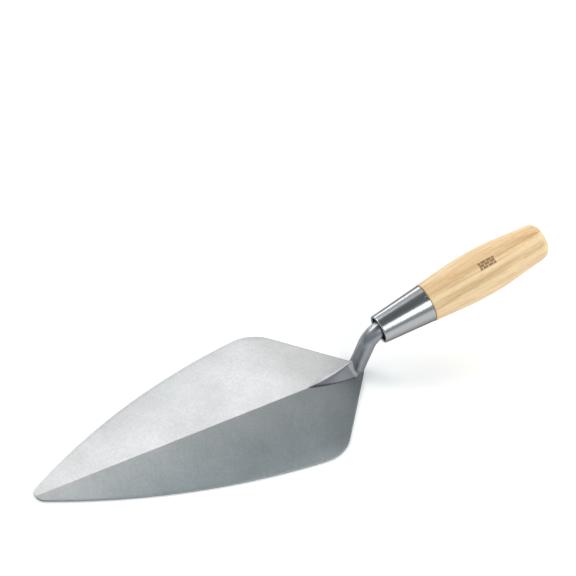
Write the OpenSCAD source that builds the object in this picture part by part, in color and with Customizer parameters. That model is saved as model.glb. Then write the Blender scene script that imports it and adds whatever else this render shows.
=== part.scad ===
// Brick trowel: a kite-shaped steel blade, a forged gooseneck shank welded along the
// blade's centreline, a tapered steel ferrule and a turned wooden handle.
//
// Frame: the origin is where the shank's axis meets the blade's flat underside.
// +X runs back towards the handle, +Z up, and the blade is symmetric about Y = 0.

/* [Blade] */
// Length of the blade, from its point to the tip of its heel
blade_length = 279.4; // [230:0.1:340]
// Widest width of the blade, across the shoulders
blade_width = 139.7; // [115:0.1:170]
// Thickness of the blade on its centreline, at the heel
blade_heel_t = 2.2; // [1.6:0.1:3.2]
// Thickness of the blade on its centreline, at the point
blade_point_t = 1.5; // [1.2:0.1:2.6]
// How much thinner the blade is at its shoulders than on its centreline
blade_crown = 0.8; // [0.2:0.05:1]
// Angle between each heel edge and the centreline
heel_angle = 50; // [42:1:60]
// Rounding of the heel's tip
heel_r = 10.4; // [6:0.1:14]
// Rounding of each shoulder
shoulder_r = 30.8; // [20:0.1:38]
// Radius of the long bowed side
side_r = 535; // [450:5:900]
// Rounding of the point
point_r = 7.8; // [4:0.1:12]

/* [Shank] */
// Diameter of the round shank
shank_d = 13.2; // [10:0.1:14.5]
// Distance from the tip of the heel forward to the shank's root
root_setback = 7.1; // [6:0.1:12]
// Lean of the upright leg, back from the vertical
leg_lean = 20; // [10:1:30]
// Height above the underside at which the leg's axis meets the handle's axis
knee_height = 34.9; // [30:0.1:48]
// Bend radius of the knee, on the shank's axis
knee_r = 18; // [12:0.5:22]
// Length of the foot that is welded to the blade, in front of the shank's root
foot_length = 42.4; // [34:0.1:56]
// Width of the foot at the shank's root
foot_width = 15; // [13:0.1:18]
// Radius of the crest of the foot, which sweeps up from the blade into the leg
foot_crest_r = 78; // [66:1:110]
// How far in front of the leg's axis the foot's shoulder ends
foot_shoulder = 2; // [0:0.1:4]
// How far the collar that seats against the wood stands out around the shank
bolster_step = 0.7; // [0.4:0.1:1.2]
// How far the collar reaches forward over the end of the knee
bolster_lap = 1.5; // [1:0.1:2.5]
// Distance from the end of the knee back to the wood
wood_seat = 1.4; // [1:0.1:4]
// Length of the tang inside the handle
tang_length = 85; // [60:1:95]
// Width of the square tang where it enters the handle
tang_root_w = 8.5; // [6:0.1:9.5]
// Width of the square tang at its end
tang_end_w = 4; // [3:0.1:6]

/* [Ferrule] */
// How far the ferrule's mouth reaches forward over the end of the knee
mouth_lap = 3.6; // [2:0.1:5]
// Length of the ferrule
ferrule_length = 42.4; // [34:0.1:52]
// Outer diameter of the ferrule at its mouth
ferrule_front_d = 22.3; // [20.5:0.1:26]
// Outer diameter of the ferrule at the handle
ferrule_back_d = 29.8; // [27:0.1:34]
// Wall of the ferrule
ferrule_wall = 1.2; // [0.8:0.1:2]
// Radius of the rolled lip around the mouth
lip_r = 0.95; // [0.6:0.05:1.3]

/* [Handle] */
// Pitch of the handle, up from the blade
handle_pitch = 12.2; // [5:0.1:22]
// Length of the bare wood, from the ferrule to the butt
wood_length = 105; // [95:0.5:130]
// Diameter of the handle at its fattest
belly_d = 37.2; // [36:0.1:42]
// Distance from the ferrule to the fattest place
belly_at = 48; // [40:0.5:58]
// Radius of the belly's curve, along the handle
belly_r = 211; // [150:1:260]
// Diameter of the handle just before the rounded butt
butt_d = 29; // [26:0.1:34]
// Rounding of the butt
butt_r = 8; // [4:0.5:11]
// How far the wood's shoulder stands proud of the ferrule
shoulder_step = 0.4; // [0.1:0.05:1]
// Chamfer on the wood's shoulder
shoulder_chamfer = 0.6; // [0.3:0.05:1]

/* [Fits] */
// Radial clearance between the ferrule and the wood inside it
ferrule_fit = 0.05; // [0.02:0.01:0.3]
// Clearance on each side of the tang in its hole
tang_fit = 0.15; // [0.05:0.05:0.5]
// Space left past the tang's end in its hole
tang_end_gap = 3; // [1:0.5:6]

/* [Hidden] */
$fn = 96;
// Facets of the belly's long, flat curve
long_curve_fn = 720;
// Larger than any part of the tool
reach = 700;
// How far the tang starts inside the collar, so that the two are one piece
tang_overlap = 2;
// How far the foot is sunk in the blade's top, where it is welded
foot_sink = 0.03;
// Half width of the foot at its very toe
toe_half = 0.2;
// Level inside the blade that the foot is drawn from
foot_floor = 1;
// Steps along the foot
foot_steps = 24;
// Share of the widest possible belly curve that is used at most
curve_margin = 0.99;

// --- blade outline: tangent arcs, each named by its centre ---
heel_x = root_setback;
point_x = heel_x - blade_length;
heel_centre = [heel_x - heel_r, 0];
point_centre = [point_x + point_r, 0];
// The two heel edges would meet here if the heel's tip weren't rounded
heel_corner_x = heel_centre[0] + heel_r / sin(heel_angle);
shoulder_y = blade_width / 2 - shoulder_r;
shoulder_centre = [heel_corner_x - (shoulder_y * cos(heel_angle) + shoulder_r) / sin(heel_angle), shoulder_y];
// The side arc encloses the shoulder arc and the point arc, and touches both
side_centre = circle_meet(shoulder_centre, side_r - shoulder_r, point_centre, side_r - point_r);
side_start = along(side_centre, shoulder_centre, side_r);
side_end = along(side_centre, point_centre, side_r);

// --- blade thickness: two planes that meet in a ridge on the centreline ---
crown_angle = atan(blade_crown / (blade_width / 2));
taper_angle = asin((blade_heel_t - blade_point_t) / blade_length);

// --- shank ---
shank_r = shank_d / 2;
knee = [knee_height * tan(leg_lean), knee_height];
knee_turn = 90 - leg_lean - handle_pitch;
knee_tangent = knee_r * tan(knee_turn / 2);
leg_top = knee_height / cos(leg_lean) - knee_tangent;
toe_x = -foot_length;
// Radius of the foot's bowed outline, which is widest at the root and closes at the toe
foot_bow_r = (foot_length * foot_length + foot_width * foot_width / 4) / foot_width;

// --- stations along the handle's axis, counted from the knee ---
mouth_s = knee_tangent - mouth_lap;
lip_s = mouth_s + lip_r;
wood_front_s = knee_tangent + wood_seat;
ferrule_back_s = mouth_s + ferrule_length;

// --- ferrule and handle radii ---
cone_slope = (ferrule_back_d - ferrule_front_d) / 2 / ferrule_length;
shoulder_outer_r = ferrule_back_d / 2 + shoulder_step;
butt_centre = [butt_d / 2 - butt_r, wood_length - butt_r];
shoulder_edge = [shoulder_outer_r, shoulder_chamfer];
// The belly's curve stops short of swallowing the shoulder's edge or the butt's rounding
belly_curve_r = min(
    belly_r,
    curve_margin * widest_curve(shoulder_edge, 0),
    curve_margin * widest_curve(butt_centre, butt_r)
);
belly_centre = [belly_d / 2 - belly_curve_r, belly_at];
belly_front = tangent_point(shoulder_edge, belly_centre, belly_curve_r);
belly_normal = tangent_normal(belly_centre, belly_curve_r, butt_centre, butt_r);
belly_back = belly_centre + belly_curve_r * belly_normal;
butt_front = butt_centre + butt_r * belly_normal;

// Radius of the ferrule's outside at a station
function ferrule_outer(s) = ferrule_front_d / 2 + cone_slope * (s - mouth_s);
// Radius of the ferrule's bore at a station
function ferrule_inner(s) = ferrule_outer(s) - ferrule_wall;
// The point at a distance from a, on the line from a through b
function along(a, b, distance) = a + (b - a) / norm(b - a) * distance;
// Direction from a centre to a point, in degrees
function bearing(centre, p) = atan2(p[1] - centre[1], p[0] - centre[0]);
// Points along an arc, its two ends included
function arc(centre, r, from, to, steps) =
    [for (i = [0:steps]) let (a = from + (to - from) * i / steps) centre + r * [cos(a), sin(a)]];
// Where a circle around a meets a circle around b, on the left of the way from a to b
function circle_meet(a, ra, b, rb) =
    let (
        gap = norm(b - a),
        ahead = (ra * ra - rb * rb + gap * gap) / (2 * gap),
        aside = sqrt(ra * ra - ahead * ahead),
        dir = (b - a) / gap
    )
    a + ahead * dir + aside * [-dir[1], dir[0]];
// Radius of the curve that is fattest at the belly and just encloses a circle around p
function widest_curve(p, r) =
    let (
        drop = belly_d / 2 - p[0],
        span = belly_at - p[1]
    )
    (drop * drop + span * span - r * r) / (2 * (drop - r));
// Where the line from a point touches a circle, on the side of larger radius
function tangent_point(p, centre, r) =
    let (
        turn = acos(r / norm(p - centre)),
        touch = bearing(centre, p) + turn
    )
    centre + r * [cos(touch), sin(touch)];
// Outward normal of the straight line that touches a large and then a small circle
function tangent_normal(a, ra, b, rb) =
    let (
        touch = bearing(a, b) - acos((ra - rb) / norm(b - a))
    )
    [cos(touch), sin(touch)];

// Height of the blade's top
function blade_top(x, y) = blade_heel_t - (heel_x - x) * tan(taper_angle) - y * tan(crown_angle);
// Height of the foot's crest
function crest_z(x) =
    blade_top(toe_x, 0) - foot_sink + foot_crest_r - sqrt(foot_crest_r ^ 2 - (x - toe_x) ^ 2);
// Half the width of the foot
function foot_half(x) =
    max(toe_half, foot_width / 2 - foot_bow_r + sqrt(foot_bow_r * foot_bow_r - x * x));
// Outline across the foot: a ridge whose flanks run down to the blade's top
function foot_section(x) =
    let (
        half = foot_half(x),
        edge = blade_top(x, half) - foot_sink
    )
    [[x, -half, foot_floor], [x, -half, edge], [x, 0, crest_z(x)], [x, half, edge], [x, half, foot_floor]];

// Puts a child whose own axis is Z on the handle's axis, with its zero at the knee
module on_handle_axis() {
    translate([knee[0], 0, knee[1]])
        rotate([0, 90 - handle_pitch, 0])
            children();
}

// One side of the blade, from its point back to the tip of its heel
function side_outline() = concat(
    arc(point_centre, point_r, 180, bearing(side_centre, side_end), 12),
    arc(side_centre, side_r, bearing(side_centre, side_end), bearing(side_centre, side_start), 48),
    arc(shoulder_centre, shoulder_r, bearing(side_centre, side_start), 90 - heel_angle, 16),
    arc(heel_centre, heel_r, 90 - heel_angle, 0, 12)
);

module blade_outline() {
    outline = side_outline();
    polygon(concat(
        outline,
        [for (i = [len(outline) - 2:-1:1]) [outline[i][0], -outline[i][1]]]
    ));
}

// Everything below the two sloping planes of the blade's top
module under_blade_top() {
    intersection_for (side = [-1, 1])
        translate([heel_x, 0, blade_heel_t])
            rotate([side * crown_angle, -taper_angle, 0])
                translate([-reach, -reach, -reach])
                    cube([2 * reach, 2 * reach, reach]);
}

module blade() {
    color("#c2c4c6")
        intersection() {
            linear_extrude(height = blade_heel_t + 1)
                blade_outline();
            under_blade_top();
        }
}

// The foot: a ridge that sweeps up out of the blade, cut off in front of the leg's axis
module foot() {
    sides = len(foot_section(0));
    ends = [
        [for (k = [sides - 1:-1:0]) k],
        [for (k = [0:sides - 1]) foot_steps * sides + k]
    ];
    skin = [
        for (i = [0:foot_steps - 1], k = [0:sides - 1])
            let (
                near = i * sides,
                far = near + sides,
                next = (k + 1) % sides
            )
            each [[near + k, near + next, far + k], [near + next, far + next, far + k]]
    ];
    intersection() {
        polyhedron(
            points = [for (i = [0:foot_steps]) each foot_section(toe_x + (knee[0] - toe_x) * i / foot_steps)],
            faces = concat(ends, skin)
        );
        rotate([0, leg_lean, 0])
            translate([-reach - foot_shoulder, -reach, -reach])
                cube([reach, 2 * reach, 2 * reach]);
    }
}

// Puts children at the top of the leg, where the knee starts, with Z along the leg
module at_leg_top() {
    rotate([0, leg_lean, 0])
        translate([0, 0, leg_top])
            children();
}

module leg() {
    at_leg_top()
        mirror([0, 0, 1])
            cylinder(h = leg_top + shank_d, r = shank_r);
}

module knee_bend() {
    at_leg_top()
        translate([knee_r, 0, 0])
            mirror([1, 0, 0])
                rotate([90, 0, 0])
                    rotate_extrude(angle = knee_turn)
                        translate([knee_r, 0])
                            circle(shank_r);
}

// Short collar around the end of the knee, which seats against the wood
module bolster() {
    on_handle_axis()
        translate([0, 0, knee_tangent - bolster_lap])
            cylinder(h = bolster_lap + wood_seat, r = shank_r + bolster_step);
}

// Square tapered tang, grown by a clearance on every side for its hole
module tang(clearance, end_gap) {
    root_half = tang_root_w / 2 + clearance;
    end_half = tang_end_w / 2 + clearance;
    span = tang_length + end_gap;
    on_handle_axis()
        translate([0, 0, wood_front_s])
            intersection_for (turn = [0, 90])
                rotate([0, 0, turn])
                    rotate([90, 0, 0])
                        linear_extrude(height = tang_root_w * 2, center = true)
                            polygon([
                                [-root_half, -tang_overlap],
                                [root_half, -tang_overlap],
                                [end_half, span],
                                [-end_half, span]
                            ]);
}

module shank() {
    color("#8f9296") {
        difference() {
            union() {
                foot();
                leg();
                knee_bend();
                bolster();
            }
            under_blade_top();
        }
        tang(0, 0);
    }
}

module ferrule() {
    color("#d5d8da")
        on_handle_axis()
            rotate_extrude() {
                polygon([
                    [ferrule_inner(lip_s), lip_s],
                    [ferrule_outer(lip_s), lip_s],
                    [ferrule_outer(ferrule_back_s), ferrule_back_s],
                    [ferrule_inner(ferrule_back_s), ferrule_back_s]
                ]);
                translate([ferrule_outer(lip_s) - lip_r, lip_s])
                    circle(lip_r);
            }
}

// The wood behind the ferrule, with its shoulder at zero
module grip_profile() {
    polygon([
        [0, 0],
        [shoulder_outer_r - shoulder_chamfer, 0],
        shoulder_edge,
        belly_front,
        belly_back,
        butt_front,
        butt_centre,
        [butt_centre[0], wood_length],
        [0, wood_length]
    ]);
    intersection() {
        translate(belly_centre)
            circle(belly_curve_r, $fn = long_curve_fn);
        translate([0, belly_front[1]])
            square([belly_d, belly_back[1] - belly_front[1]]);
    }
    intersection() {
        translate(butt_centre)
            circle(butt_r);
        translate([0, butt_centre[1] - butt_r])
            square([belly_d, 2 * butt_r]);
    }
}

// The turned spigot that the ferrule grips
module spigot_profile() {
    polygon([
        [0, wood_front_s],
        [ferrule_inner(wood_front_s) - ferrule_fit, wood_front_s],
        [ferrule_inner(ferrule_back_s) - ferrule_fit, ferrule_back_s],
        [0, ferrule_back_s]
    ]);
}

module handle() {
    color("#ddb883")
        difference() {
            on_handle_axis()
                rotate_extrude() {
                    spigot_profile();
                    translate([0, ferrule_back_s])
                        grip_profile();
                }
            tang(tang_fit, tang_end_gap);
        }
}

blade();
shank();
ferrule();
handle();
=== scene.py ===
"""Brick trowel: steel blade, forged shank, polished ferrule and turned wooden handle.

The pieces are built around the fixed CAD frame. Sizes are in millimetres unless a name says
otherwise, and every finished mesh is in metres. The origin is where the shank's axis meets
the blade's flat underside, +X runs back along the handle and +Z is up.
"""

from math import acos, atan2, cos, hypot, log, pi, radians, sin, sqrt, tan

import bmesh
import bpy
import numpy as np
from bpy.props import FloatProperty, FloatVectorProperty, IntProperty, PointerProperty
from mathutils import Matrix, Vector


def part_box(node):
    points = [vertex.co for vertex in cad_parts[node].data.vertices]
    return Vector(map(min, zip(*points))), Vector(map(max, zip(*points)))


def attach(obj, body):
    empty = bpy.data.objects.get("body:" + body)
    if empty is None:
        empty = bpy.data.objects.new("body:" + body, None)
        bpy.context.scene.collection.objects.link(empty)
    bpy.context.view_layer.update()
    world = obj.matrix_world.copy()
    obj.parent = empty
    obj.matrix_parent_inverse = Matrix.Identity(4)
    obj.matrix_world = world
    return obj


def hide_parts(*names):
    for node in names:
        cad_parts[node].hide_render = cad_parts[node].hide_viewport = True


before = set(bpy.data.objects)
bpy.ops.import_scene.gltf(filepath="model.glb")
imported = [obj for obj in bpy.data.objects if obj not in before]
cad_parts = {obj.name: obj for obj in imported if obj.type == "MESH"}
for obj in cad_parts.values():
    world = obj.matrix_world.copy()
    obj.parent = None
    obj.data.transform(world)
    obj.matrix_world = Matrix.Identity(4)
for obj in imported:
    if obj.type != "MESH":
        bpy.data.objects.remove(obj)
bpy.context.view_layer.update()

bl_info = {
    "name": "Brick Trowel",
    "version": (1, 0, 0),
    "blender": (4, 5, 0),
    "location": "View3D > Sidebar > Trowel",
    "description": "Builds a brick trowel from its blade, shank, ferrule and handle",
    "category": "Add Mesh",
}

MM = 0.001
BODY = "root"

# Sizes read from the CAD pieces
BLADE_LOW, BLADE_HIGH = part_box("blade")
HEEL_X = BLADE_HIGH.x / MM
POINT_X = BLADE_LOW.x / MM
BLADE_WIDTH = (BLADE_HIGH.y - BLADE_LOW.y) / MM

# How finely each stretch of the blade's outline is divided
HEEL_STEPS = 14
STRAIGHT_STEPS = 26
SHOULDER_STEPS = 20
SIDE_STEPS = 90
POINT_STEPS = 16
# Rows along one half of the blade, as shares of its width, close together at the ridge
HALF_COLUMNS = [0.012, 0.04, 0.11, 0.22, 0.34, 0.47, 0.6, 0.73, 0.85, 0.94, 1]
# Height of the plane under which the shank is cut flat, inside the blade
WELD_HEIGHT = 1.6


# ---------------------------------------------------------------- properties


# Every size is a bpy.props value with its name, its description and its default


def size_mm(name, description, default):
    return FloatProperty(name=name, description=description + ", in mm", default=default)


def angle_deg(name, description, degrees):
    return FloatProperty(name=name, description=description, default=radians(degrees), subtype="ANGLE")


def flat_colour(name, description, rgb):
    return FloatVectorProperty(name=name, description=description, subtype="COLOR", size=4, default=(*rgb, 1))


class BladeSizes(bpy.types.PropertyGroup):
    heel_thickness: size_mm("Heel thickness", "Thickness on the centreline at the heel", 2.2)
    point_thickness: size_mm("Point thickness", "Thickness on the centreline at the point", 1.5)
    crown: size_mm("Crown", "How much thinner the shoulders are than the centreline", 0.8)
    heel_angle: angle_deg("Heel angle", "Angle between a heel edge and the centreline", 50)
    heel_radius: size_mm("Heel radius", "Rounding of the heel's tip", 10.4)
    shoulder_radius: size_mm("Shoulder radius", "Rounding of each shoulder", 30.8)
    side_radius: size_mm("Side radius", "Radius of the bowed side", 535)
    point_radius: size_mm("Point radius", "Rounding of the point", 7.8)
    edge_radius: size_mm("Edge radius", "Rounding of the edges", 0.22)
    grind_heel: angle_deg("Grind at heel", "Lean of the grinding lines at the heel", 45)
    grind_point: angle_deg("Grind at point", "Lean of the grinding lines at the point", 9)
    colour: flat_colour("Colour", "Colour of the ground steel", (0.815, 0.81, 0.812))


class ShankSizes(bpy.types.PropertyGroup):
    diameter: size_mm("Diameter", "Diameter of the round shank", 13.2)
    leg_lean: angle_deg("Leg lean", "Lean of the leg back from the vertical", 20)
    knee_height: size_mm("Knee height", "Height at which the leg's axis meets the handle's", 34.9)
    knee_radius: size_mm("Knee radius", "Bend radius of the knee", 18)
    foot_length: size_mm("Foot length", "Length of the welded foot", 42.4)
    foot_width: size_mm("Foot width", "Width of the foot at the root", 15)
    foot_crest: size_mm("Foot crest", "Radius of the foot's rising crest", 78)
    foot_shoulder: size_mm("Foot shoulder", "How far in front of the leg's axis the foot ends", 2)
    collar_step: size_mm("Collar step", "How far the collar stands out", 0.7)
    collar_lap: size_mm("Collar lap", "How far the collar laps the knee", 1.5)
    wood_seat: size_mm("Wood seat", "From the end of the knee to the wood", 1.4)
    tang_length: size_mm("Tang length", "Length of the tang in the wood", 85)
    tang_root: size_mm("Tang root", "Width of the tang at its root", 8.5)
    tang_end: size_mm("Tang end", "Width of the tang at its end", 4)
    colour: flat_colour("Colour", "Colour of the forged steel", (0.325, 0.335, 0.36))
    foot_colour: flat_colour("Foot colour", "Colour of the foot's scale", (0.265, 0.27, 0.29))


class FerruleSizes(bpy.types.PropertyGroup):
    mouth_lap: size_mm("Mouth lap", "How far the mouth laps the knee", 3.6)
    length: size_mm("Length", "Length of the ferrule", 42.4)
    front_diameter: size_mm("Front diameter", "Outer diameter at the mouth", 22.3)
    back_diameter: size_mm("Back diameter", "Outer diameter at the wood", 29.8)
    wall: size_mm("Wall", "Wall of the ferrule", 1.2)
    lip_radius: size_mm("Lip radius", "Radius of the rolled lip", 0.95)
    segments: IntProperty(name="Segments", description="Facets round a turned piece", default=200, min=24)
    punch_turn: angle_deg("Punch turn", "Place of the punch mark, round from the underside", 203)
    punch_radius: size_mm("Punch radius", "Radius of the punch mark", 1.3)
    punch_depth: size_mm("Punch depth", "Depth of the punch mark", 0.45)
    colour: flat_colour("Colour", "Colour of the polished steel", (0.43, 0.44, 0.45))


class HandleSizes(bpy.types.PropertyGroup):
    pitch: angle_deg("Pitch", "Pitch of the handle, up from the blade", 12.2)
    wood_length: size_mm("Wood length", "Length of the bare wood", 105)
    belly_diameter: size_mm("Belly diameter", "Fattest diameter", 37.2)
    belly_at: size_mm("Belly at", "From the ferrule to the fattest place", 48)
    belly_radius: size_mm("Belly radius", "Radius of the belly's curve", 211)
    butt_diameter: size_mm("Butt diameter", "Diameter before the rounded butt", 29)
    butt_radius: size_mm("Butt radius", "Rounding of the butt", 8)
    shoulder_step: size_mm("Shoulder step", "Wood proud of the ferrule", 0.4)
    shoulder_chamfer: size_mm("Shoulder chamfer", "Chamfer on the shoulder", 0.6)
    fit: size_mm("Fit", "Clearance under the ferrule", 0.05)
    tang_fit: size_mm("Tang fit", "Clearance round the tang", 0.15)
    tang_gap: size_mm("Tang gap", "Space past the tang's end", 3)
    grain_turn: angle_deg("Grain turn", "Slant of the growth layers, round the handle's axis", 49)
    heart_line: size_mm("Heart line", "From the axis to the one dark layer", 6.5)
    mark_at: size_mm("Mark at", "From the ferrule to the mark", 45)
    mark_turn: angle_deg("Mark turn", "Upper edge of the mark, round from the underside", 194)
    mark_length: size_mm("Mark length", "Length of the mark", 14)
    mark_height: size_mm("Mark height", "Height of the mark", 6.6)
    pale: flat_colour("Pale wood", "Colour of the pale early wood", (0.865, 0.64, 0.375))
    dark: flat_colour("Dark wood", "Colour of the darker late wood", (0.62, 0.38, 0.18))
    burn: flat_colour("Burned mark", "Colour of the burned-in mark", (0.21, 0.11, 0.04))


class StageSizes(bpy.types.PropertyGroup):
    azimuth: angle_deg("Azimuth", "Camera azimuth; 0 looks along +Y", -33.794)
    elevation: angle_deg("Elevation", "Camera height above the horizon", 44.648)
    roll: angle_deg("Roll", "Camera roll", 4.265)
    distance: FloatProperty(
        name="Distance", description="Camera distance from its aim", default=3.0829, unit="LENGTH"
    )
    lens: FloatProperty(name="Lens", description="Focal length in mm", default=250)
    aim: FloatVectorProperty(
        name="Aim", description="Point that the camera looks at", default=(0.00180, 0.10034, 0.00025),
        subtype="TRANSLATION",
    )
    floor_size: FloatProperty(
        name="Floor size", description="Side of the square floor", default=9, unit="LENGTH"
    )


# ------------------------------------------------------------ meshes in mm


def mesh_object(name, verts, faces):
    """A new object in the scene, from points in millimetres."""
    mesh = bpy.data.meshes.new(name)
    mesh.from_pydata([Vector(v) * MM for v in verts], [], faces)
    mesh.validate()
    piece = bpy.data.objects.new(name, mesh)
    bpy.context.scene.collection.objects.link(piece)
    return piece


def tidy_mesh(piece, merge_mm=0.002):
    """Merges doubles, closes poles and turns every face outwards."""
    bm = bmesh.new()
    bm.from_mesh(piece.data)
    bmesh.ops.remove_doubles(bm, verts=bm.verts, dist=merge_mm * MM)
    bmesh.ops.dissolve_degenerate(bm, edges=bm.edges, dist=merge_mm * MM)
    bmesh.ops.recalc_face_normals(bm, faces=bm.faces)
    open_edges = sum(1 for e in bm.edges if not e.is_manifold)
    bm.to_mesh(piece.data)
    bm.free()
    if open_edges:
        raise RuntimeError(f"{piece.name} has {open_edges} open edges")
    piece.data.update()


def smooth_by_angle(piece, angle):
    """Smooth shading that keeps edges sharper than the angle."""
    piece.data.shade_smooth()
    piece.data.set_sharp_from_angle(angle=angle)


def fill_slot(piece, material):
    piece.data.materials.clear()
    piece.data.materials.append(material)


def finish_piece(piece, node):
    """Checks the piece against its CAD node, then lets it stand for that node."""
    low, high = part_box(node)
    room = 0.6 * MM
    for v in piece.data.vertices:
        for k in range(3):
            if not low[k] - room <= v.co[k] <= high[k] + room:
                raise RuntimeError(f"{piece.name} leaves the space of {node} at {tuple(v.co)}")
    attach(piece, BODY)
    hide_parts(node)


def combine(piece, other, operation):
    """Joins, cuts or intersects two closed pieces, and deletes the second."""
    cut = piece.modifiers.new("combine", "BOOLEAN")
    cut.operation = operation
    cut.solver = "EXACT"
    cut.material_mode = "TRANSFER"
    cut.object = other
    replace_with_evaluated(piece)
    bpy.data.objects.remove(other)


def replace_with_evaluated(piece):
    """Turns the piece's modifiers into plain mesh."""
    bpy.context.view_layer.update()
    evaluated = piece.evaluated_get(bpy.context.evaluated_depsgraph_get())
    mesh = bpy.data.meshes.new_from_object(evaluated)
    piece.modifiers.clear()
    old = piece.data
    piece.data = mesh
    bpy.data.meshes.remove(old)
    mesh.name = piece.name


# -------------------------------------------------------------- node helpers


def add_node(tree, kind, settings=None, **inputs):
    """A node with its settings, and its inputs set or linked by name (underscores for spaces)."""
    node = tree.nodes.new(kind)
    for key, value in (settings or {}).items():
        setattr(node, key, value)
    for key, value in inputs.items():
        wanted = key.replace("_", " ")
        match = [s for s in node.inputs if s.name == wanted and s.enabled]
        if not match:
            raise RuntimeError(f"{kind} has no input {wanted!r}")
        set_input(tree, match[0], value)
    return node


def set_input(tree, socket, value):
    if isinstance(value, bpy.types.NodeSocket):
        tree.links.new(value, socket)
    else:
        socket.default_value = value


def axes_of(tree, vector):
    """The X, Y and Z outputs of a vector."""
    return add_node(tree, "ShaderNodeSeparateXYZ", Vector=vector).outputs


def maths(tree, operation, *values):
    node = tree.nodes.new("ShaderNodeMath")
    node.operation = operation
    for socket, value in zip(node.inputs, values):
        set_input(tree, socket, value)
    return node.outputs[0]


def ramp(tree, factor, *stops):
    """A colour ramp through (position, value or colour) stops."""
    node = tree.nodes.new("ShaderNodeValToRGB")
    elements = node.color_ramp.elements
    while len(elements) < len(stops):
        elements.new(0.5)
    for element, (position, value) in zip(elements, stops):
        element.position = position
        element.color = (value, value, value, 1) if isinstance(value, (int, float)) else value
    tree.links.new(factor, node.inputs[0])
    return node.outputs[0]


def noise(tree, vector, scale, detail=2.0, roughness=0.5, distortion=0.0):
    return add_node(
        tree, "ShaderNodeTexNoise",
        Vector=vector, Scale=scale, Detail=detail, Roughness=roughness, Distortion=distortion,
    ).outputs["Fac"]


def mix_colour(tree, factor, a, b, blend="MIX"):
    node = tree.nodes.new("ShaderNodeMix")
    node.data_type = "RGBA"
    node.blend_type = blend
    for socket, value in zip((node.inputs[0], node.inputs[6], node.inputs[7]), (factor, a, b)):
        set_input(tree, socket, value)
    return node.outputs[2]


def multiply(tree, colour, factor):
    return mix_colour(tree, 1.0, colour, factor, "MULTIPLY")


def mapping(tree, vector, location=(0, 0, 0), rotation=(0, 0, 0), scale=(1, 1, 1)):
    return add_node(
        tree, "ShaderNodeMapping", Vector=vector, Location=location, Rotation=rotation, Scale=scale
    ).outputs[0]


def new_material(name):
    """An empty node material with its shader, and its coordinates in object space and UV."""
    material = bpy.data.materials.new(name)
    material.use_nodes = True
    tree = material.node_tree
    shader = next(n for n in tree.nodes if n.type == "BSDF_PRINCIPLED")
    coordinates = tree.nodes.new("ShaderNodeTexCoord")
    return material, tree, shader, coordinates


def fade(tree, value, start, end, low=0.0, high=1.0):
    """Goes evenly from low to high as the value goes from start to end, and is level outside."""
    return add_node(
        tree, "ShaderNodeMapRange", Value=value, From_Min=start, From_Max=end, To_Min=low, To_Max=high
    ).outputs[0]


def stretch(tree, value, low, high):
    """Maps 0..1 to low..high."""
    return fade(tree, value, 0.0, 1.0, low, high)


def darker(colour, share):
    """The colour with its red, green and blue multiplied by the share."""
    return tuple(share * c for c in colour[:3]) + (1,)


def add_relief(tree, shader, height, strength, depth_mm):
    """Fine relief on the surface, from a height between 0 and 1."""
    bump = add_node(tree, "ShaderNodeBump", Strength=strength, Distance=depth_mm * MM, Height=height)
    tree.links.new(bump.outputs[0], shader.inputs["Normal"])


# ------------------------------------------------------------ the blade


def unit(angle):
    return np.array([cos(angle), sin(angle)])


def bearing(centre, point):
    return atan2(point[1] - centre[1], point[0] - centre[0])


def circle_meet(a, ra, b, rb):
    """Where a circle round a meets one round b, on the left of the way from a to b."""
    gap = hypot(*(b - a))
    ahead = (ra * ra - rb * rb + gap * gap) / (2 * gap)
    aside = sqrt(ra * ra - ahead * ahead)
    way = (b - a) / gap
    return a + ahead * way + aside * np.array([-way[1], way[0]])


def blade_side(sizes):
    """Points and outward normals along one side of the blade, from the heel's tip to the point."""
    lean = sizes.heel_angle
    heel = np.array([HEEL_X - sizes.heel_radius, 0.0])
    point = np.array([POINT_X + sizes.point_radius, 0.0])
    corner_x = heel[0] + sizes.heel_radius / sin(lean)
    shoulder_y = BLADE_WIDTH / 2 - sizes.shoulder_radius
    shoulder = np.array([corner_x - (shoulder_y * cos(lean) + sizes.shoulder_radius) / sin(lean), shoulder_y])
    side = circle_meet(
        shoulder, sizes.side_radius - sizes.shoulder_radius, point, sizes.side_radius - sizes.point_radius
    )
    heel_normal = pi / 2 - lean
    side_from = bearing(side, shoulder)
    side_to = bearing(side, point)
    arcs = [
        (heel, sizes.heel_radius, 0.0, heel_normal, HEEL_STEPS),
        (shoulder, sizes.shoulder_radius, heel_normal, side_from, SHOULDER_STEPS),
        (side, sizes.side_radius, side_from, side_to, SIDE_STEPS),
        (point, sizes.point_radius, side_to, pi, POINT_STEPS),
    ]
    rows = []
    for centre, radius, start, end, steps in arcs:
        for k in range(steps + 1):
            turn = start + (end - start) * k / steps
            rows.append((centre + radius * unit(turn), unit(turn)))
    # The straight heel edge gets rows of its own
    a, b = rows[HEEL_STEPS][0], rows[HEEL_STEPS + 1][0]
    share = 1 / STRAIGHT_STEPS
    straight = [(a + (b - a) * k * share, unit(heel_normal)) for k in range(1, STRAIGHT_STEPS)]
    rows[HEEL_STEPS + 1:HEEL_STEPS + 1] = straight
    # Where two arcs meet, the shared point is kept once
    closest = 0.02
    kept = [rows[0]]
    for row in rows[1:]:
        if hypot(*(row[0] - kept[-1][0])) > closest:
            kept.append(row)
    return kept


def top_height(sizes, x, y):
    """Height of the blade's top: two planes that meet in a softened ridge and taper to the point."""
    taper = (sizes.heel_thickness - sizes.point_thickness) / (HEEL_X - POINT_X)
    slope = sizes.crown / (BLADE_WIDTH / 2)
    ridge_softness = 0.35
    return sizes.heel_thickness - (HEEL_X - x) * taper - slope * (hypot(y, ridge_softness) - ridge_softness)


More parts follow.
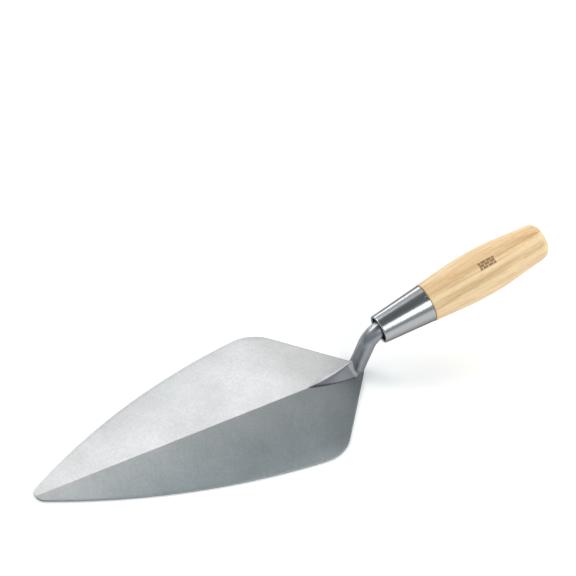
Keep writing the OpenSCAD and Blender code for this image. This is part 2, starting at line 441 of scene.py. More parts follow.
def blade_mesh(sizes):
    """Top and bottom are rows across the blade, joined by a rounded rim."""
    side = blade_side(sizes)
    edge = sizes.edge_radius
    columns = [-c for c in reversed(HALF_COLUMNS)] + [0] + HALF_COLUMNS
    n = len(columns)
    verts, faces = [], []

    def add_cap(height, flip):
        start = len(verts)
        for point, normal in side:
            x, y = point - edge * normal
            for c in columns:
                verts.append((x, c * max(y, 0.0), height(x, c * y)))
        for i in range(len(side) - 1):
            for j in range(n - 1):
                a = start + i * n + j
                quad = (a, a + 1, a + n + 1, a + n)
                faces.append(quad[::-1] if flip else quad)
        return start

    top = add_cap(lambda x, y: top_height(sizes, x, y), False)
    bottom = add_cap(lambda x, y: 0.0, True)
    loop = [(i, n - 1, 1) for i in range(len(side))] + [(i, 0, -1) for i in reversed(range(1, len(side) - 1))]
    steps = 4
    rings = []
    for k in range(1, steps + 1):
        turn = pi / 2 * k / steps
        rings.append((edge * (1 - sin(turn)), "top", edge * (1 - cos(turn))))
    for k in reversed(range(1, steps + 1)):
        turn = pi / 2 * k / steps
        rings.append((edge * (1 - sin(turn)), "bottom", edge * (1 - cos(turn))))
    loops = [[top + i * n + j for i, j, s in loop]]
    for inset, where, drop in rings:
        ring = []
        for i, j, s in loop:
            point, normal = side[i]
            x, y = point - inset * normal
            height = top_height(sizes, x, y) - drop if where == "top" else drop
            ring.append(len(verts))
            verts.append((x, s * max(y, 0.0), height))
        loops.append(ring)
    loops.append([bottom + i * n + j for i, j, s in loop])
    for upper, lower in zip(loops, loops[1:]):
        for k in range(len(loop)):
            m = (k + 1) % len(loop)
            faces.append((upper[k], lower[k], lower[m], upper[m]))
    return verts, faces


def grind_uv(piece, sizes):
    """Two UV maps in metres for the grinding lines, which lean back from the ridge and fan out to the point.

    The slope of the lines' normal falls evenly from heel to point, so both maps are its integrals.
    Across follows the line's normal in its first axis, and Lines is constant along each line.
    """
    across_map = piece.data.uv_layers.new(name="Across")
    lines_map = piece.data.uv_layers.new(name="Lines")
    length = (HEEL_X - POINT_X) * MM
    heel_slope = tan(sizes.grind_heel)
    fall = tan(sizes.grind_point) - heel_slope
    for face in piece.data.polygons:
        side = 1 if face.center.y > 0 else -1
        for loop in face.loop_indices:
            p = piece.data.vertices[piece.data.loops[loop].vertex_index].co
            back = min(max(HEEL_X * MM - p.x, 0.0), length)
            drift = heel_slope * back + fall * back * back / (2 * length)
            fan = length / fall * log(1 + fall * back / (length * heel_slope))
            across_map.data[loop].uv = (p.x, p.y - side * drift)
            lines_map.data[loop].uv = (side * p.y - fan, p.x)


def blade_steel(sizes):
    """Satin ground steel with fine grinding lines and a blasted speckle."""
    material, tree, shader, coordinates = new_material("blade_ground_steel")
    uv = add_node(tree, "ShaderNodeUVMap", {"uv_map": "Lines"}).outputs[0]
    place = coordinates.outputs["Object"]
    lines = noise(tree, mapping(tree, uv, scale=(1300, 40, 1)), 1, 3, 0.6)
    speckle = noise(tree, place, 1000, 3, 0.8)
    mottle = noise(tree, place, 330, 2, 0.6)
    clouds = noise(tree, mapping(tree, place, location=(0.03, 0, 0)), 17, 3, 0.55)
    tone = mix_colour(tree, 0.75, lines, speckle)
    base = ramp(tree, tone, (0.32, darker(sizes.colour, 0.76)), (0.62, tuple(sizes.colour)))
    base = multiply(tree, base, stretch(tree, mottle, 0.91, 1.08))
    base = multiply(tree, base, stretch(tree, clouds, 0.74, 1.27))
    axes = axes_of(tree, place)
    # Painted shade: one half (-Y) is darker and cooler across its middle and lighter and cooler at its edge,
    # and both halves are painted darker at the heel and less so at the point
    across = fade(tree, axes["Y"], -BLADE_WIDTH / 2 * MM, 0.0)
    painted_shade_near_half = ramp(
        tree, across,
        (0.0, (1.0, 1.06, 1.07, 1)), (0.2, (0.8, 0.87, 0.885, 1)), (0.45, (0.81, 0.875, 0.89, 1)),
        (0.85, (0.96, 1.0, 1.01, 1)), (1.0, 1.0),
    )
    base = multiply(tree, base, painted_shade_near_half)
    # Painted shade along the blade: darkest at the heel and a little darker at the point
    painted_shade_along_blade = ramp(
        tree, fade(tree, axes["X"], POINT_X * MM, HEEL_X * MM),
        (0.0, 0.78), (0.25, 0.96), (0.55, 1.0), (0.75, 0.93), (1.0, 0.56),
    )
    base = multiply(tree, base, painted_shade_along_blade)
    # Painted shade on the rounded rim: the colour darkens where the surface turns away from flat
    facing = maths(tree, "ABSOLUTE", axes_of(tree, coordinates.outputs["Normal"])["Z"])
    rim = fade(tree, facing, 0.5, 0.95, 0.55, 1.0)
    tree.links.new(multiply(tree, base, rim), shader.inputs["Base Color"])
    shader.inputs["Metallic"].default_value = 1
    shader.inputs["Anisotropic"].default_value = 0.9
    tree.links.new(stretch(tree, speckle, 0.44, 0.6), shader.inputs["Roughness"])
    tangent = add_node(tree, "ShaderNodeTangent", {"direction_type": "UV_MAP", "uv_map": "Across"})
    tree.links.new(tangent.outputs[0], shader.inputs["Tangent"])
    add_relief(tree, shader, speckle, 0.25, 0.08)
    return material


class TROWEL_OT_blade(bpy.types.Operator):
    """Builds the steel blade"""

    bl_idname = "trowel.blade"
    bl_label = "Blade"

    def execute(self, context):
        sizes = context.scene.trowel_blade
        blade = mesh_object("trowel_blade", *blade_mesh(sizes))
        tidy_mesh(blade, 0.005)
        grind_uv(blade, sizes)
        smooth_by_angle(blade, radians(40))
        fill_slot(blade, blade_steel(sizes))
        finish_piece(blade, "blade")
        return {"FINISHED"}


# ------------------------------------------------------------ the shank


class Knee:
    """Stations and directions that the shank, the ferrule and the handle share."""

    def __init__(self, scene):
        shank, ferrule, handle = scene.trowel_shank, scene.trowel_ferrule, scene.trowel_handle
        self.place = Vector((shank.knee_height * tan(shank.leg_lean), 0, shank.knee_height))
        self.leg = Vector((sin(shank.leg_lean), 0, cos(shank.leg_lean)))
        self.axis = Vector((cos(handle.pitch), 0, sin(handle.pitch)))
        self.turn = pi / 2 - shank.leg_lean - handle.pitch
        self.tangent = shank.knee_radius * tan(self.turn / 2)
        self.mouth = self.tangent - ferrule.mouth_lap
        self.wood = self.tangent + shank.wood_seat
        self.shoulder = self.mouth + ferrule.length
        self.tilt = pi / 2 - handle.pitch


def neck_path(scene, knee):
    """Points along the shank's centreline, from below the blade's top to the end of the knee."""
    shank = scene.trowel_shank
    path = []
    steps = 24
    leg_top = knee.place.length - knee.tangent
    start = -3
    for k in range(steps + 1):
        path.append(knee.leg * (start + (leg_top - start) * k / steps))
    bend_normal = Vector((cos(shank.leg_lean), 0, -sin(shank.leg_lean)))
    centre = knee.leg * leg_top + bend_normal * shank.knee_radius
    for k in range(1, steps + 1):
        turn = knee.turn * k / steps
        arm = -bend_normal * cos(turn) + knee.leg * sin(turn)
        path.append(centre + arm * shank.knee_radius)
    return path


def new_tree(name, **kinds):
    """A Geometry Nodes tree that takes a geometry, the given named inputs and a material."""
    tree = bpy.data.node_groups.new(name, "GeometryNodeTree")
    tree.interface.new_socket("Geometry", in_out="OUTPUT", socket_type="NodeSocketGeometry")
    for label, kind in {"Geometry": "Geometry", **kinds, "Material": "Material"}.items():
        tree.interface.new_socket(label, in_out="INPUT", socket_type="NodeSocket" + kind)
    return tree, tree.nodes.new("NodeGroupInput").outputs


def end_tree(tree, geometry, material):
    """Ends the tree: realizes instances, sets the material and gives the result."""
    real = add_node(tree, "GeometryNodeRealizeInstances", Geometry=geometry).outputs[0]
    coated = add_node(tree, "GeometryNodeSetMaterial", Geometry=real, Material=material).outputs[0]
    tree.links.new(coated, tree.nodes.new("NodeGroupOutput").inputs["Geometry"])
    return tree


def neck_tree():
    """Sweeps a round section along a line of points and gives it the soft facets of forging."""
    tree, given = new_tree("Forged neck", Radius="Float", Facets="Int", Unevenness="Float")
    curve = add_node(tree, "GeometryNodeMeshToCurve", Mesh=given["Geometry"]).outputs[0]
    ring = add_node(
        tree, "GeometryNodeCurvePrimitiveCircle", Resolution=given["Facets"], Radius=given["Radius"]
    ).outputs[0]
    swept = add_node(tree, "GeometryNodeCurveToMesh", Curve=curve, Profile_Curve=ring)
    swept.inputs["Fill Caps"].default_value = True
    lumps = add_node(tree, "ShaderNodeTexNoise", {"noise_dimensions": "3D"}, Scale=130.0, Detail=1.0)
    # The noise stays mostly under this, so the skin sinks in and never leaves its true size
    noise_top = 0.62
    raised = maths(
        tree, "MULTIPLY", maths(tree, "SUBTRACT", lumps.outputs["Fac"], noise_top), given["Unevenness"]
    )
    normal = tree.nodes.new("GeometryNodeInputNormal").outputs[0]
    offset = add_node(
        tree, "ShaderNodeVectorMath", {"operation": "SCALE"}, Vector=normal, Scale=raised
    ).outputs[0]
    placed = add_node(tree, "GeometryNodeSetPosition", Geometry=swept.outputs[0], Offset=offset).outputs[0]
    return end_tree(tree, placed, given["Material"])


def set_tree_input(modifier, name, value):
    """Sets a Geometry Nodes input through its socket's identifier."""
    for item in modifier.node_group.interface.items_tree:
        if item.item_type == "SOCKET" and item.in_out == "INPUT" and item.name == name:
            modifier[item.identifier] = value
            return
    raise RuntimeError(f"{modifier.node_group.name} has no input {name!r}")


def run_tree(piece, tree, **inputs):
    """Runs a Geometry Nodes tree on the piece and keeps the result as plain mesh."""
    modifier = piece.modifiers.new(tree.name, "NODES")
    modifier.node_group = tree
    for name, value in inputs.items():
        set_tree_input(modifier, name.replace("_", " "), value)
    replace_with_evaluated(piece)


def turned_solid(name, profile, knee, segments=96):
    """A closed solid turned about the handle's axis from (radius, station) points."""
    verts, faces = [], []
    n = len(profile)
    for i in range(segments):
        turn = 2 * pi * i / segments
        for radius, station in profile:
            verts.append(place_on_axis(knee, radius * cos(turn), radius * sin(turn), station))
    for i in range(segments):
        j = (i + 1) % segments
        for k in range(n - 1):
            faces.append((i * n + k, j * n + k, j * n + k + 1, i * n + k + 1))
    return mesh_object(name, verts, faces)


def place_on_axis(knee, x, y, station):
    """A point at a station of the handle's axis, off it by x (towards the underside) and y."""
    under = Vector((knee.axis.z, 0, -knee.axis.x))
    return knee.place + knee.axis * station + under * x + Vector((0, 1, 0)) * y


def foot_solid(scene, knee):
    """The foot: a softened ridge that sweeps up out of the blade, cut off in front of the leg's axis."""
    shank, blade = scene.trowel_shank, scene.trowel_blade
    length, half_width = shank.foot_length, shank.foot_width / 2
    bow = (length * length + half_width * half_width) / (2 * half_width)
    toe_z = top_height(blade, -length, 0)
    # Depth of the foot's edges in the blade's top, its lowest level, and half its width at the toe
    sink, floor, toe_half = 0.03, 1.2, 0.2
    # The crest is at its softest once it stands this high
    full_softness, full_rise = 0.9, 4
    rows, columns = 60, 24
    # The crest comes up through the blade's top a little behind the toe
    start = sqrt(2 * shank.foot_crest * sink) - length
    verts, faces = [], []
    for i in range(rows + 1):
        x = start + (knee.place.x - start) * i / rows
        half = max(toe_half, half_width - bow + sqrt(bow * bow - x * x))
        crest = toe_z - sink + shank.foot_crest - sqrt(shank.foot_crest ** 2 - (x + length) ** 2)
        edge = top_height(blade, x, half) - sink
        rise = crest - edge
        softness = full_softness * min(1, rise / full_rise)
        span = hypot(half, softness) - softness
        verts.append((x, -half, floor))
        for k in range(columns + 1):
            y = half * (2 * k / columns - 1)
            share = 1 - (hypot(y, softness) - softness) / span
            verts.append((x, y, edge + rise * share))
        verts.append((x, half, floor))
    n = columns + 3
    for i in range(rows):
        for k in range(n):
            m = (k + 1) % n
            faces.append((i * n + k, i * n + m, (i + 1) * n + m, (i + 1) * n + k))
    faces.append(tuple(range(n)))
    faces.append(tuple(rows * n + k for k in range(n)))
    foot = mesh_object("foot", verts, faces)
    across_leg = Vector((cos(shank.leg_lean), 0, -sin(shank.leg_lean)))
    cut_mesh(foot, -across_leg * shank.foot_shoulder, across_leg)
    return foot


def cut_mesh(piece, point, outwards):
    """Cuts away what lies past a plane, and closes the cut."""
    bm = bmesh.new()
    bm.from_mesh(piece.data)
    bmesh.ops.recalc_face_normals(bm, faces=bm.faces)
    everything = list(bm.verts) + list(bm.edges) + list(bm.faces)
    cut = bmesh.ops.bisect_plane(
        bm, geom=everything, plane_co=point * MM, plane_no=outwards, clear_outer=True, dist=1e-8
    )
    rim = [e for e in cut["geom_cut"] if isinstance(e, bmesh.types.BMEdge)]
    bmesh.ops.edgeloop_fill(bm, edges=[e for e in rim if e.is_boundary])
    bmesh.ops.recalc_face_normals(bm, faces=bm.faces)
    bm.to_mesh(piece.data)
    bm.free()


def tang_solid(scene, knee, fit=0.0, gap=0.0, overlap=2.0):
    """The square tapered tang, or the hole for it when a fit and a gap are given."""
    shank = scene.trowel_shank
    near = shank.tang_root / 2 + fit
    far = shank.tang_end / 2 + fit
    ends = [(knee.wood - overlap, near), (knee.wood + shank.tang_length + gap, far)]
    verts = []
    for station, half in ends:
        for x, y in ((-1, -1), (1, -1), (1, 1), (-1, 1)):
            verts.append(place_on_axis(knee, x * half, y * half, station))
    faces = [(3, 2, 1, 0), (4, 5, 6, 7), (0, 1, 5, 4), (1, 2, 6, 5), (2, 3, 7, 6), (3, 0, 4, 7)]
    return mesh_object("tang", verts, faces)


def forged_steel(sizes):
    """Forged and brushed steel, with streaks along the shank and soft dark scale."""
    material, tree, shader, coordinates = new_material("shank_forged_steel")
    place = coordinates.outputs["Object"]
    along = mapping(tree, place, rotation=(0, -sizes.leg_lean, 0), scale=(500, 500, 45))
    streaks = noise(tree, along, 1, 3, 0.6)
    grain = noise(tree, place, 1500, 2, 0.6)
    scale_spots = noise(tree, place, 110, 3, 0.6)
    tone = mix_colour(tree, 0.35, streaks, grain)
    base = ramp(tree, tone, (0.25, darker(sizes.colour, 0.8)), (0.75, tuple(sizes.colour)))
    shade = stretch(tree, scale_spots, 0.86, 1.08)
    tree.links.new(multiply(tree, base, shade), shader.inputs["Base Color"])
    shader.inputs["Metallic"].default_value = 1
    tree.links.new(stretch(tree, streaks, 0.24, 0.4), shader.inputs["Roughness"])
    shader.inputs["Specular Tint"].default_value = (0.7, 0.7, 0.7, 1)
    add_relief(tree, shader, tone, 0.3, 0.1)
    return material


def foot_steel(sizes):
    """The foot's finish: dark forging scale, with painted light on the far flank, a painted highlight at the
    rear edge and a painted shadow in the crease.
    """
    material, tree, shader, coordinates = new_material("foot_forged_steel")
    place = coordinates.outputs["Object"]
    grain = noise(tree, place, 900, 3, 0.7)
    spots = noise(tree, place, 160, 3, 0.6)
    tone = mix_colour(tree, 0.5, grain, spots)
    scale = ramp(tree, tone, (0.3, darker(sizes.foot_colour, 0.8)), (0.7, tuple(sizes.foot_colour)))
    ground = ramp(tree, tone, (0.3, (0.44, 0.44, 0.45, 1)), (0.7, (0.54, 0.54, 0.55, 1)))
    axes = axes_of(tree, place)
    # Painted shadow: near black in the crease along the blade's top
    painted_crease_shadow = fade(tree, axes["Z"], 2.3 * MM, 2.9 * MM, 0.75, 0.0)
    scale = mix_colour(tree, painted_crease_shadow, scale, (0.03, 0.03, 0.035, 1))
    # Painted light: the far flank (+Y) takes the lighter ground colour where light falls on it, and the rear
    # edge gets a painted highlight
    ahead = axes_of(tree, mapping(tree, place, rotation=(0, sizes.leg_lean, 0)))["X"]
    end = -sizes.foot_shoulder * MM
    painted_edge_highlight = fade(tree, ahead, end - 0.7 * MM, end - 0.3 * MM, 0.0, 0.6)
    bare = maths(tree, "MAXIMUM", fade(tree, axes["Y"], 0.0, 0.8 * MM), painted_edge_highlight)
    tree.links.new(mix_colour(tree, bare, scale, ground), shader.inputs["Base Color"])
    shader.inputs["Metallic"].default_value = 1
    tree.links.new(stretch(tree, grain, 0.5, 0.64), shader.inputs["Roughness"])
    add_relief(tree, shader, grain, 0.3, 0.1)
    return material


class TROWEL_OT_shank(bpy.types.Operator):
    """Builds the forged shank with its foot, neck, collar and tang"""

    bl_idname = "trowel.shank"
    bl_label = "Shank"

    def execute(self, context):
        scene = context.scene
        sizes = scene.trowel_shank
        knee = Knee(scene)
        path = neck_path(scene, knee)
        mesh = bpy.data.meshes.new("trowel_shank")
        mesh.from_pydata([p * MM for p in path], [(k, k + 1) for k in range(len(path) - 1)], [])
        shank = bpy.data.objects.new("trowel_shank", mesh)
        scene.collection.objects.link(shank)
        steel = forged_steel(sizes)
        run_tree(
            shank, neck_tree(),
            Radius=sizes.diameter / 2 * MM, Facets=72, Unevenness=0.35 * MM, Material=steel,
        )
        tidy_mesh(shank)
        collar_r = sizes.diameter / 2 + sizes.collar_step
        front, back = knee.tangent - sizes.collar_lap, knee.wood
        bevel = 0.4
        collar = turned_solid(
            "collar",
            [(0, front), (collar_r - bevel, front), (collar_r, front + bevel), (collar_r, back), (0, back)],
            knee,
        )
        foot, tang = foot_solid(scene, knee), tang_solid(scene, knee)
        for part, finish in ((collar, steel), (foot, foot_steel(sizes)), (tang, steel)):
            tidy_mesh(part)
            fill_slot(part, finish)
            combine(shank, part, "UNION")
        cut_mesh(shank, Vector((0, 0, WELD_HEIGHT)), Vector((0, 0, -1)))
        tidy_mesh(shank)
        smooth_by_angle(shank, radians(35))
        finish_piece(shank, "shank")
        return {"FINISHED"}


# ------------------------------------------------- the turned pieces


def turning_tree():
    """Turns a line of (radius, 0, station) points about the handle's axis into a closed skin."""
    tree, given = new_tree("Turned piece", Segments="Int", Knee="Vector", Tilt="Float")
    count = add_node(tree, "GeometryNodeAttributeDomainSize", Geometry=given["Geometry"]).outputs[0]
    grid = add_node(
        tree, "GeometryNodeMeshGrid",
        Vertices_X=maths(tree, "ADD", given["Segments"], 1.0), Vertices_Y=count,
    ).outputs[0]
    index = tree.nodes.new("GeometryNodeInputIndex").outputs[0]
    segment = maths(tree, "FLOOR", maths(tree, "DIVIDE", maths(tree, "ADD", index, 0.5), count))
    row = maths(tree, "SUBTRACT", index, maths(tree, "MULTIPLY", segment, count))
    place = tree.nodes.new("GeometryNodeInputPosition").outputs[0]
    sample = add_node(
        tree, "GeometryNodeSampleIndex", {"data_type": "FLOAT_VECTOR", "domain": "POINT"},
        Geometry=given["Geometry"], Value=place, Index=row,
    ).outputs[0]
    share = maths(tree, "DIVIDE", segment, given["Segments"])
    turn = maths(tree, "MULTIPLY", share, 2 * pi)
    spun = add_node(
        tree, "ShaderNodeVectorRotate", {"rotation_type": "Z_AXIS"}, Vector=sample, Angle=turn
    ).outputs[0]
    tipped = add_node(
        tree, "ShaderNodeVectorRotate", {"rotation_type": "Y_AXIS"}, Vector=spun, Angle=given["Tilt"]
    ).outputs[0]
    moved = add_node(tree, "ShaderNodeVectorMath", {"operation": "ADD"}).outputs[0]
    tree.links.new(tipped, moved.node.inputs[0])
    tree.links.new(given["Knee"], moved.node.inputs[1])
    split = add_node(tree, "ShaderNodeSeparateXYZ", Vector=sample)
    flat = add_node(tree, "ShaderNodeCombineXYZ", X=share, Y=split.outputs["Z"], Z=0.0).outputs[0]
    kept = add_node(
        tree, "GeometryNodeStoreNamedAttribute", {"data_type": "FLOAT_VECTOR", "domain": "POINT"},
        Geometry=grid, Name="turned_at", Value=flat,
    ).outputs[0]
    placed = add_node(tree, "GeometryNodeSetPosition", Geometry=kept, Position=moved).outputs[0]
    stored = add_node(
        tree, "GeometryNodeInputNamedAttribute", {"data_type": "FLOAT_VECTOR"}, Name="turned_at"
    )
    mapped = add_node(
        tree, "GeometryNodeStoreNamedAttribute", {"data_type": "FLOAT2", "domain": "CORNER"},
        Geometry=placed, Name="Turned", Value=stored.outputs[0],
    ).outputs[0]
    closed = add_node(tree, "GeometryNodeMergeByDistance", Geometry=mapped, Distance=1e-6).outputs[0]
    return end_tree(tree, closed, given["Material"])


def turned_piece(name, profile, knee, segments, material):
    """A piece turned about the handle's axis by the turning tree."""
    mesh = bpy.data.meshes.new(name)
    mesh.from_pydata([Vector((r, 0, s)) * MM for r, s in profile], [], [])
    piece = bpy.data.objects.new(name, mesh)
    bpy.context.scene.collection.objects.link(piece)
    run_tree(
        piece, turning_tree(),
        Segments=segments, Knee=knee.place * MM, Tilt=knee.tilt, Material=material,
    )
    return piece


def arc_points(centre, radius, start, end, steps):
    return [tuple(centre + radius * unit(start + (end - start) * k / steps)) for k in range(steps + 1)]


def line_points(a, b, steps):
    """Points after a and before b on the line between them."""
    a, b = np.array(a), np.array(b)
    return [tuple(a + (b - a) * k / steps) for k in range(1, steps)]


def ferrule_radius(sizes, knee, station):
    slope = (sizes.back_diameter - sizes.front_diameter) / 2 / sizes.length
    return sizes.front_diameter / 2 + slope * (station - knee.mouth)


def ferrule_profile(sizes, knee):
    """Closed loop: rolled lip, outer cone, rounded back edge, and the bore back to the lip."""
    lip = knee.mouth + sizes.lip_radius
    outer = ferrule_radius(sizes, knee, lip)
    centre = np.array([outer - sizes.lip_radius, lip])
    back = knee.shoulder
    edge = 0.3
    back_outer = ferrule_radius(sizes, knee, back)
    loop = arc_points(centre, sizes.lip_radius, -pi, 0, 18)
    # Many rows along the cone, so that the punch mark is round
    loop += line_points(loop[-1], (back_outer - 0.03, back - edge), 90)
    loop += arc_points(np.array([back_outer - edge, back - edge]), edge, 0, pi / 2, 5)
    inner_back = (back_outer - sizes.wall, back)
    loop.append(inner_back)
    inner_lip = (outer - sizes.wall, lip + 1.0)
    loop += line_points(inner_back, inner_lip, 24)
    loop.append(inner_lip)
    loop.append(loop[0])
    return loop


def polished_steel(sizes, knee):
    """Polished, slightly dull steel with fine draw lines along the ferrule, and painted shade in the punch
    mark.
    """
    material, tree, shader, coordinates = new_material("ferrule_polished_steel")
    place = coordinates.outputs["Object"]
    uv = add_node(tree, "ShaderNodeUVMap", {"uv_map": "Turned"}).outputs[0]
    lines = noise(tree, mapping(tree, uv, scale=(160, 60, 1)), 1, 3, 0.6)
    grain = noise(tree, place, 900, 3, 0.7)
    tone = mix_colour(tree, 0.4, lines, grain)
    base = ramp(tree, tone, (0.25, darker(sizes.colour, 0.9)), (0.75, tuple(sizes.colour)))
    station = knee.shoulder - sizes.punch_radius
    centre = (sizes.punch_turn / (2 * pi), station * MM, 0)
    round_mm = 2 * pi * ferrule_radius(sizes, knee, station)
    away = add_node(tree, "ShaderNodeVectorMath", {"operation": "SUBTRACT"})
    tree.links.new(uv, away.inputs[0])
    away.inputs[1].default_value = centre
    reach = sizes.punch_radius
    scaled = mapping(tree, away.outputs[0], scale=(round_mm / reach, 1 / (reach * MM), 0))
    gap = add_node(tree, "ShaderNodeVectorMath", {"operation": "LENGTH"}, Vector=scaled).outputs["Value"]
    # Painted shade: a dark brown spot in the punch mark's dent
    base = mix_colour(tree, fade(tree, gap, 0.45, 0.9, 0.9, 0.0), base, (0.07, 0.045, 0.035, 1))
    tree.links.new(base, shader.inputs["Base Color"])
    shader.inputs["Metallic"].default_value = 1
    tree.links.new(stretch(tree, tone, 0.16, 0.3), shader.inputs["Roughness"])
    shader.inputs["Specular Tint"].default_value = (0.18, 0.18, 0.18, 1)
    add_relief(tree, shader, tone, 0.15, 0.03)
    return material


def punch_mark(ferrule, sizes, knee):
    """Presses the round punch mark that holds the ferrule on the wood, just inside its rear edge."""
    station = knee.shoulder - sizes.punch_radius
    out = ferrule_radius(sizes, knee, station)
    centre = place_on_axis(knee, out * cos(sizes.punch_turn), out * sin(sizes.punch_turn), station)
    inwards = (knee.place + knee.axis * station - centre).normalized()
    for v in ferrule.data.vertices:
        gap = (v.co / MM - centre).length / sizes.punch_radius
        if gap < 1:
            v.co += inwards * sizes.punch_depth * MM * (1 - gap * gap) ** 2


class TROWEL_OT_ferrule(bpy.types.Operator):
    """Builds the tapered steel ferrule with its rolled lip and punch mark"""

    bl_idname = "trowel.ferrule"
    bl_label = "Ferrule"

    def execute(self, context):
        scene = context.scene
        sizes = scene.trowel_ferrule
        knee = Knee(scene)
        steel = polished_steel(sizes, knee)
        ferrule = turned_piece(
            "trowel_ferrule", ferrule_profile(sizes, knee), knee, sizes.segments, steel
        )
        tidy_mesh(ferrule)
        punch_mark(ferrule, sizes, knee)
        smooth_by_angle(ferrule, radians(40))
        fill_slot(ferrule, steel)
        finish_piece(ferrule, "ferrule")
        return {"FINISHED"}


def handle_profile(scene, knee):
    """From the spigot's face on the axis, out along the spigot and the grip, to the butt on the axis."""
    sizes = scene.trowel_handle
    ferrule = scene.trowel_ferrule
    spigot = [
        (ferrule_radius(ferrule, knee, s) - ferrule.wall - sizes.fit, s) for s in (knee.wood, knee.shoulder)
    ]
    base = knee.shoulder
    edge = np.array([ferrule.back_diameter / 2 + sizes.shoulder_step, sizes.shoulder_chamfer])
    belly = np.array([sizes.belly_diameter / 2 - sizes.belly_radius, sizes.belly_at])
    butt = np.array([sizes.butt_diameter / 2 - sizes.butt_radius, sizes.wood_length - sizes.butt_radius])
    reach = hypot(*(edge - belly))
    front_turn = bearing(belly, edge) + acos(sizes.belly_radius / reach)
    radius_gap = sizes.belly_radius - sizes.butt_radius
    back_turn = bearing(belly, butt) - acos(radius_gap / hypot(*(butt - belly)))
    grip = [(edge[0] - sizes.shoulder_chamfer, 0.0), tuple(edge)]
    curve = arc_points(belly, sizes.belly_radius, front_turn, back_turn, 40)
    grip += line_points(grip[-1], curve[0], 24) + curve
    end = arc_points(butt, sizes.butt_radius, back_turn, pi / 2, 18)
    grip += line_points(curve[-1], end[0], 20) + end
    disc = [(end[-1][0] * k / 6, sizes.wood_length) for k in reversed(range(6))]
    grip += disc
    start = [(spigot[0][0] * k / 5, spigot[0][1]) for k in range(6)]
    sleeve = line_points(spigot[0], spigot[1], 20) + [spigot[1]]
    return start + sleeve + [(r, base + s) for r, s in grip]


def brick_mark(tree, sizes, knee, round_share, station):
    """How strongly the burned-in mark shows: three courses of bricks on the upper side of the wood."""
    radius = sizes.belly_diameter / 2 * MM
    start = (knee.shoulder + sizes.mark_at) * MM
    run = maths(tree, "DIVIDE", maths(tree, "SUBTRACT", station, start), sizes.mark_length * MM)
    away = maths(tree, "SUBTRACT", round_share, sizes.mark_turn / (2 * pi))
    rise = maths(tree, "DIVIDE", maths(tree, "MULTIPLY", away, 2 * pi * radius), sizes.mark_height * MM)
    courses = 3
    wall = add_node(
        tree, "ShaderNodeCombineXYZ",
        X=maths(tree, "MULTIPLY", run, courses), Y=maths(tree, "MULTIPLY", rise, courses), Z=0.0,
    ).outputs[0]
    joints = add_node(
        tree, "ShaderNodeTexBrick", Vector=wall, Scale=1.0, Mortar_Size=0.065, Mortar_Smooth=0.2,
        Brick_Width=1.0, Row_Height=1.0,
    ).outputs["Fac"]
    inside = maths(tree, "MULTIPLY", within(tree, run), within(tree, rise))
    return maths(tree, "MULTIPLY", inside, maths(tree, "SUBTRACT", 1.0, joints))


def within(tree, value, soft=0.03):
    """1 where the value lies between 0 and 1, with soft ends."""
    away = maths(tree, "ABSOLUTE", maths(tree, "SUBTRACT", value, 0.5))
    return fade(tree, away, 0.5 - soft, 0.5 + soft, 1.0, 0.0)


def clear_wood(scene, knee):
    """Pale lacquered hardwood: growth layers at a slant, fine pores, one dark layer and a brick mark."""
    sizes = scene.trowel_handle
    material, tree, shader, coordinates = new_material("handle_hardwood")
    place = coordinates.outputs["Object"]
    centred = mapping(tree, place, location=tuple(-knee.place * MM))
    along = mapping(tree, centred, rotation=(0, sizes.pitch, 0))
    layers = mapping(tree, along, rotation=(sizes.grain_turn, 0, 0))
    bands = noise(tree, mapping(tree, layers, scale=(5, 45, 170)), 1, 3, 0.6, 0.5)
    streaks = noise(tree, mapping(tree, layers, scale=(12, 260, 430)), 1, 4, 0.65)
    pores = noise(tree, mapping(tree, along, scale=(110, 2200, 2200)), 1, 2, 0.5)
    axes = axes_of(tree, layers)
    heart = fade(tree, axes["Z"], (sizes.heart_line - 3) * MM, (sizes.heart_line + 1) * MM, 0.05, -0.03)
    tone = maths(tree, "ADD", mix_colour(tree, 0.45, bands, streaks), heart)
    wood = ramp(tree, tone, (0.36, tuple(sizes.dark)), (0.6, tuple(sizes.pale)))
    pits = ramp(tree, pores, (0.28, 0.72), (0.4, 1.0))
    wood = multiply(tree, wood, pits)
    turned = add_node(tree, "ShaderNodeUVMap", {"uv_map": "Turned"}).outputs[0]
    surface = axes_of(tree, turned)
    # The dark layer shows only behind the mark
    waver = maths(tree, "MULTIPLY", maths(tree, "SUBTRACT", streaks, 0.5), 2 * MM)
    depth = maths(tree, "SUBTRACT", maths(tree, "ADD", axes["Z"], waver), sizes.heart_line * MM)
    thin = fade(tree, maths(tree, "ABSOLUTE", depth), 0.1 * MM, 0.5 * MM, 0.55, 0.0)
    mark_end = (knee.shoulder + sizes.mark_at + sizes.mark_length) * MM
    behind = fade(tree, surface["Y"], mark_end - 4 * MM, mark_end + 6 * MM)
    wood = mix_colour(tree, maths(tree, "MULTIPLY", thin, behind), wood, (0.3, 0.16, 0.06, 1))
    # Painted shadow: a dark line on the wood where it meets the ferrule
    painted_joint_shadow = fade(tree, surface["Y"], (knee.shoulder + 0.3) * MM, (knee.shoulder + 0.9) * MM, 0.7, 0.0)
    wood = mix_colour(tree, painted_joint_shadow, wood, (0.16, 0.09, 0.04, 1))
    ink = maths(tree, "MULTIPLY", brick_mark(tree, sizes, knee, surface["X"], surface["Y"]), 0.85)
    wood = mix_colour(tree, ink, wood, tuple(sizes.burn))
    tree.links.new(wood, shader.inputs["Base Color"])
    tree.links.new(stretch(tree, streaks, 0.42, 0.55), shader.inputs["Roughness"])
    shader.inputs["Specular IOR Level"].default_value = 0.35
    shader.inputs["Coat Weight"].default_value = 0.15
    shader.inputs["Coat Roughness"].default_value = 0.25
    add_relief(tree, shader, pores, 0.25, 0.1)
    return material


